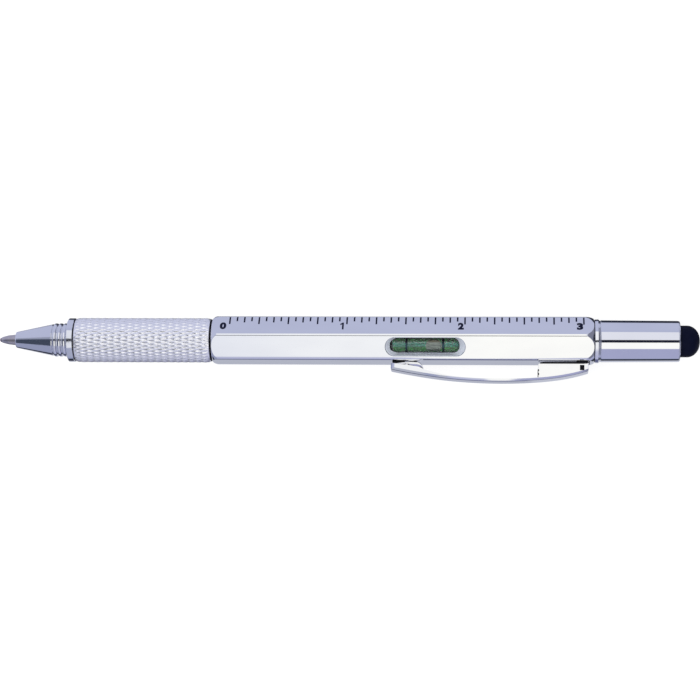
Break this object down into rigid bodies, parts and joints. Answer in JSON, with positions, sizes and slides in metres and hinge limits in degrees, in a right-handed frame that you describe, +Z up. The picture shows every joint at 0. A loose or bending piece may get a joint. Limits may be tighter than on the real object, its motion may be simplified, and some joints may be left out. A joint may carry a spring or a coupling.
{
  "type": "multi tool pen",
  "caption": "Hexagonal chrome pen with a ruler, a spirit level, a knurled twist grip, a pocket clip and a screw cap with a stylus over a double-ended screwdriver bit.",
  "frame": {"origin": "middle of the barrel's length, on the bottom facet that the pen lies on", "axes": "+X along the pen toward the stylus, +Z up through the level's facet, +Y toward the ruler's side"},
  "size_m": [0.1521, 0.0143, 0.0109],
  "materials": {
    "chrome_barrel": "mirror plated with a light satin",
    "chrome_trim": "mirror plated",
    "knurled_chrome": "diamond knurled and plated",
    "chrome_clip": "mirror plated",
    "chrome_cap": "mirror plated",
    "plated_steel": "plated",
    "refill_metal": "warm grey nickel silver",
    "ball_metal": "polished carbide",
    "tool_steel": "hardened, satin",
    "black_plastic": "moulded",
    "grey_plastic": "moulded, pale grey",
    "clear_vial": "clear acrylic",
    "green_fluid": "green level fluid",
    "bubble": "air bubble",
    "ink": "black ink",
    "stylus_rubber": "soft conductive rubber",
    "seal_rubber": "black rubber"
  },
  "bodies": {
    "barrel": {"hex_barrel": "chrome_barrel", "front_bush": "black_plastic", "cam_sleeve": "black_plastic", "level_cradle": "grey_plastic", "vial_tube": "clear_vial", "vial_plug": "clear_vial", "vial_fluid": "green_fluid", "vial_line_left": "black_plastic", "vial_line_right": "black_plastic", "bit_holder": "plated_steel", "collar_ring": "chrome_trim"},
    "bubble": {"level_bubble": "bubble"},
    "grip": {"grip_sleeve": "knurled_chrome", "nose_cone": "chrome_trim", "rotor_tube": "plated_steel", "retaining_ring": "plated_steel"},
    "refill": {"refill_tip": "refill_metal", "tip_ball": "ball_metal", "refill_tube": "refill_metal", "ink_column": "ink", "refill_carrier": "black_plastic", "drive_pin": "plated_steel"},
    "clip": {"pocket_clip": "chrome_clip"},
    "bit": {"screwdriver_bit": "tool_steel"},
    "cap_ring": {"cap_seal": "seal_rubber"},
    "stylus_cap": {"cap_tube": "chrome_cap", "stylus_holder": "black_plastic", "stylus_tip": "stylus_rubber"}
  },
  "joints": [
    {"name": "grip_twist", "type": "hinge", "parent": "barrel", "child": "grip", "pos_m": [-0.04138, 0, 0.0048], "axis": [1, 0, 0], "range_deg": [0, 180]},
    {"name": "refill_slide", "type": "slide", "parent": "grip", "child": "refill", "axis": [1, 0, 0], "range_m": [0, 0.0055]},
    {"name": "clip_flex", "type": "hinge", "parent": "barrel", "child": "clip", "pos_m": [0.03955, -0.00416, 0.0072], "axis": [0, 0.5, 0.866], "range_deg": [0, 4], "stiffness_Nm_per_rad": 0.3},
    {"name": "bit_pull", "type": "slide", "parent": "barrel", "child": "bit", "axis": [1, 0, 0], "range_m": [0, 0.016]},
    {"name": "cap_pull", "type": "slide", "parent": "bit", "child": "cap_ring", "axis": [1, 0, 0], "range_m": [0, 0.03]},
    {"name": "cap_turn", "type": "hinge", "parent": "cap_ring", "child": "stylus_cap", "pos_m": [0.04258, 0, 0.0048], "axis": [1, 0, 0], "range_deg": [0, 720]},
    {"name": "bubble_slide", "type": "slide", "parent": "barrel", "child": "bubble", "axis": [1, 0, 0], "range_m": [-0.006, 0.0019]}
  ],
  "couplings": [
    {"joint": "refill_slide", "follows": "grip_twist", "m_per_rad": 0.0017507}
  ]
}
